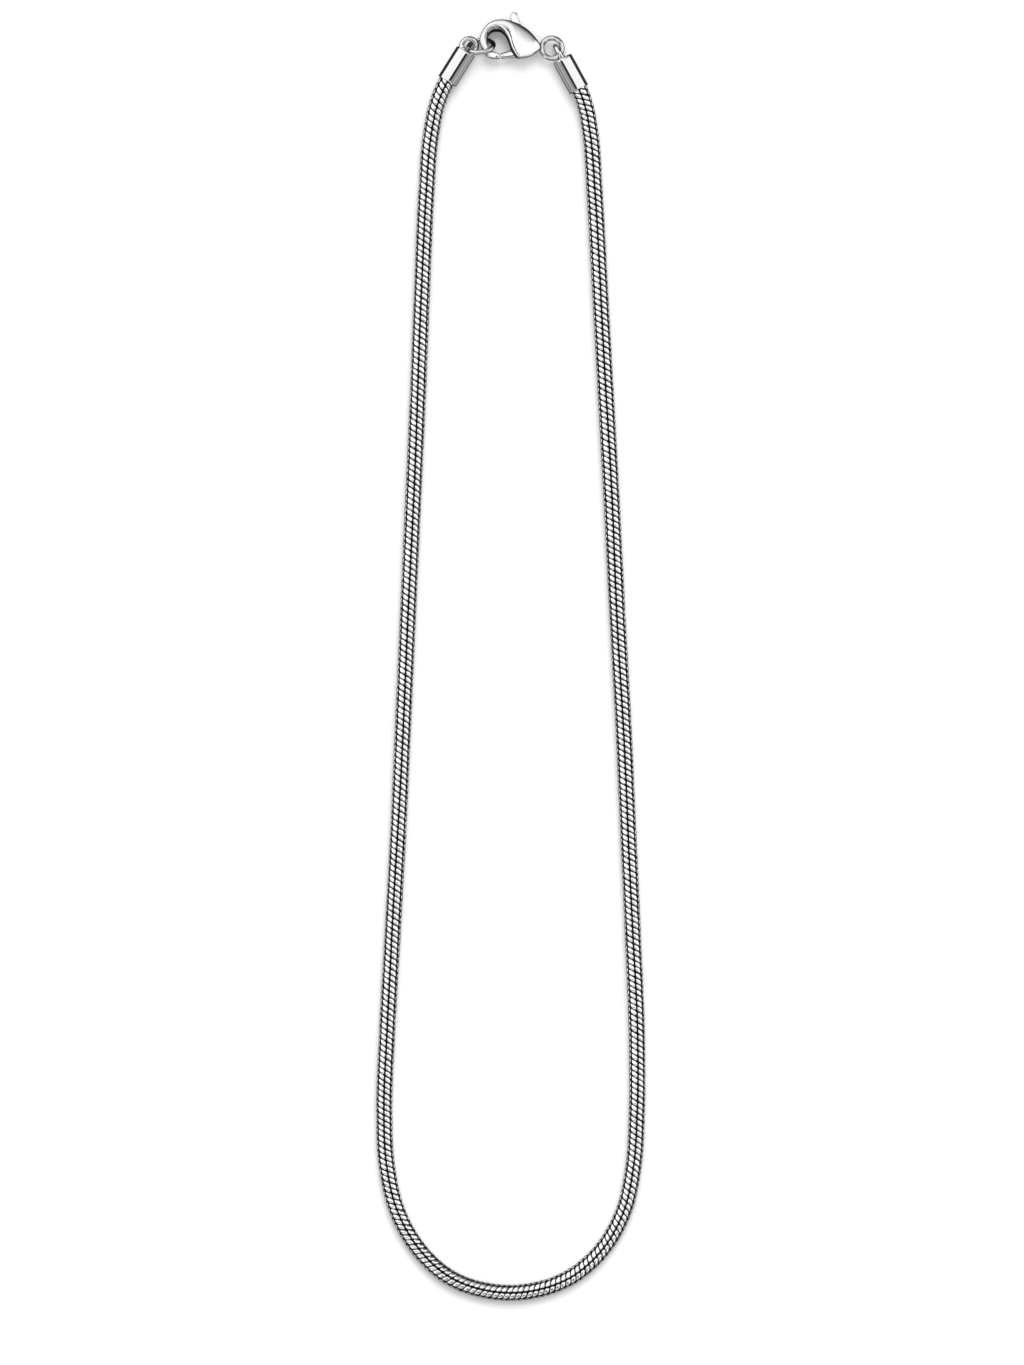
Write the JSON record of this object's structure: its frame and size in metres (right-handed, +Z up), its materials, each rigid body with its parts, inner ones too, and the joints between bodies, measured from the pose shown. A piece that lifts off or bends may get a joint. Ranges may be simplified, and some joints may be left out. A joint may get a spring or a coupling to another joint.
{
  "type": "snake chain necklace",
  "caption": "Round snake chain necklace in polished steel, lying flat in its closed loop, with plain end caps, a jump ring and a lobster clasp.",
  "frame": {"origin": "on the surface that the necklace lies on, under the middle of its length and width", "axes": "+Z up from the surface, +Y along the loop towards the clasp, +X to the right seen from above with the clasp at the top"},
  "size_m": [0.0495, 0.2377, 0.0048],
  "materials": {
    "chain_steel": "polished steel scales with dark seams between them",
    "cap_steel": "polished",
    "ring_steel": "polished",
    "clasp_steel": "polished"
  },
  "bodies": {
    "necklace": {"chain_left_end": "chain_steel", "chain_left_upper": "chain_steel", "chain_left_lower": "chain_steel", "chain_bend_left": "chain_steel", "chain_bend_right": "chain_steel", "chain_right_lower": "chain_steel", "chain_right_upper": "chain_steel", "chain_right_end": "chain_steel", "end_cap_left": "cap_steel", "end_cap_right": "cap_steel", "jump_ring": "ring_steel", "clasp_body": "clasp_steel"},
    "lever": {"clasp_lever": "clasp_steel"}
  },
  "joints": [
    {"name": "lever_hinge", "type": "hinge", "parent": "necklace", "child": "lever", "pos_m": [0.00212, 0.11163, 0.0019], "axis": [0, 0, -1], "range_deg": [0, 24], "stiffness_Nm_per_rad": 0.01}
  ]
}
